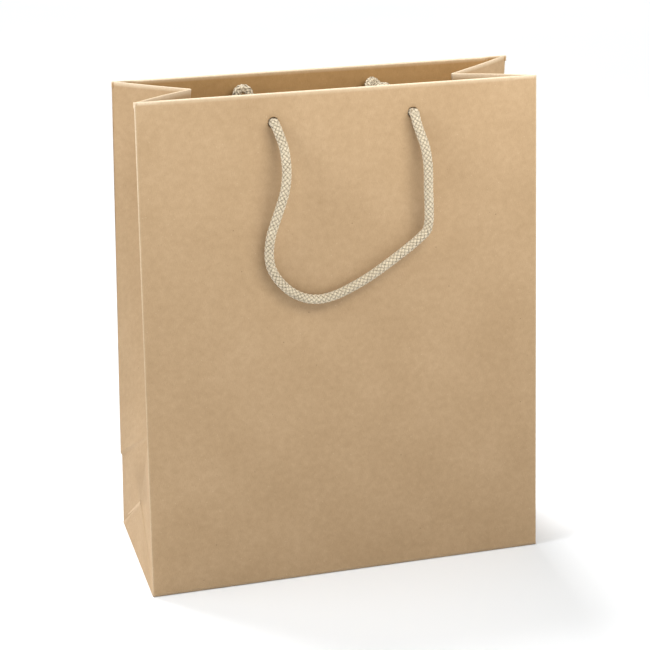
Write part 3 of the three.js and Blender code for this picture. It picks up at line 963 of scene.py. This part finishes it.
# The two long flaps, each from its wall to past the middle. The back one lies over the front one's edge.
def bottomFlaps():
    b = bottom
    lines, along = b["flapGrid"]
    end, edge = width / 2 - b["ends"], depth / 2 - b["sides"]
    across = np.linspace(-end, end, along)
    share = np.linspace(0, 1, lines)
    # flap edges paled by wear and painted highlight
    wearAndHighlight = 0.25 * np.exp(-(share * depth / 2 / 0.001) ** 2)
    wearAndHighlight = wearAndHighlight + 0.5 * np.exp(-((1 - share) * depth / 0.0012) ** 2)
    for wall, flip in (("front", -1), ("back", 1)):
        first = np.stack([across, np.full(along, flip * edge)], -1)
        last = np.stack([across, np.full(along, -flip * b["lap"])], -1)
        level = np.full(lines, b["flapLevel"])
        if wall == "back":
            y = flip * (edge - share * (edge + b["lap"]))
            level = level + b["stepUp"] * smooth(b["lap"] + 0.0015, b["lap"] + 0.0003, y)
            first, last = first[::-1], last[::-1]
        obj = bottomSheet(wall + "Flap", first, last, level, lines, wearAndHighlight)
        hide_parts(wall + "_bottom_flap")


# The two end tucks, which lie above the flaps and are narrower towards the middle.
def endTucks():
    b = bottom
    lines, along = b["tuckGrid"]
    for side in ("left", "right"):
        outer = width / 2 - b["tuckInset"]
        y = np.linspace(-1, 1, along) * -mirror(side)
        first = np.stack([np.full(along, mirror(side) * outer), y * (depth / 2 - b["tuckInset"])], -1)
        far = mirror(side) * (outer - b["reach"])
        last = np.stack([np.full(along, far), y * (depth / 2 - b["reach"])], -1)
        obj = bottomSheet(side + "Tuck", first, last, b["tuckLevel"], lines, np.zeros(lines))
        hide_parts(side + "_end_tuck")


bottomFlaps()
endTucks()
print("bottom")

# the cards and the seam flap keep their CAD shapes
for name in ("front_top_card", "back_top_card", "base_card"):
    setMaterial(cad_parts[name], board)
setMaterial(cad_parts["seam_flap"], kraftSolid)
print("kept pieces finished")


floor = {
    "reach": 6.0,       # from the middle to each side
    "level": -0.0002,
    "deep": (0.885, 0.900, 0.920),
    "pale": (0.905, 0.920, 0.940),
}


# A wide white floor with soft clouds in its tone.
def softFloor():
    reach = floor["reach"]
    around = ((-reach, -reach), (reach, -reach), (reach, reach), (-reach, reach))
    corners = [(x, y, floor["level"]) for x, y in around]
    obj = makeMesh("floor", np.array(corners), np.array([[0, 1, 2, 3]]))
    material, shader, node = newMaterial("white floor")
    place = node("ShaderNodeTexCoord").outputs["Object"]
    tone = remap(node, noise(node, place, 3.0), 0.3, 0.7)
    colour = blendColour(node, tone, (*floor["deep"], 1), (*floor["pale"], 1))
    feed(shader, {"Base Color": colour, "Roughness": 0.9, "Specular IOR Level": 0.1})
    setMaterial(obj, material)


lights = {
    # name: place, aimed at, size, power, colour
    "front": ((0.08, -0.30, 0.62), (0.0, -0.03, 0.20), 0.25, 1.15, (1.0, 1.0, 0.98)),
    "right": ((0.32, -0.34, 0.60), (0.0, -0.03, 0.20), 0.22, 1.40, (1.0, 1.0, 0.98)),
    "left": ((-0.42, -0.10, 0.52), (-0.12, 0.0, 0.24), 0.20, 1.30, (0.92, 0.97, 1.0)),
}
suns = {
    # name: shines from, strength, angle
    "behind": ((-0.4, 1.2, 1.6), 3.2, math.radians(30)),
    "beside": ((-1.3, 0.25, 1.3), 0.6, math.radians(35)),
}
# brightest round the horizon; it fades to the overhead strength between two heights, as sines of elevation
surround = {"strength": 1.10, "overhead": 0.10, "fades": (0.16, 0.36)}


# Round lamps, two soft suns and the surroundings' own light.
def makeLights():
    for name, (place, aim, size, power, colour) in lights.items():
        data = bpy.data.lights.new(name, "AREA")
        data.shape = "DISK"
        data.size = size
        data.energy = power
        data.color = colour
        aimed(name, data, place, aim)
    for name, (place, strength, angle) in suns.items():
        data = bpy.data.lights.new(name, "SUN")
        data.energy = strength
        data.angle = angle
        aimed(name, data, place, (0.0, 0.0, 0.0))
    world = bpy.data.worlds.new("studio")
    world.use_nodes = True
    tree = world.node_tree
    direction = tree.nodes.new("ShaderNodeTexCoord")
    height = tree.nodes.new("ShaderNodeSeparateXYZ")
    fade = tree.nodes.new("ShaderNodeMapRange")
    tree.links.new(direction.outputs["Generated"], height.inputs[0])
    low, high = surround["fades"]
    feed(fade, {0: height.outputs[2], 1: low, 2: high, 3: surround["strength"], 4: surround["overhead"]})
    feed(tree.nodes["Background"], {0: (1.0, 1.0, 1.0, 1), 1: fade.outputs[0]})
    bpy.context.scene.world = world


softFloor()
makeLights()
bpy.context.scene.view_settings.view_transform = "Standard"
print("floor and lights")
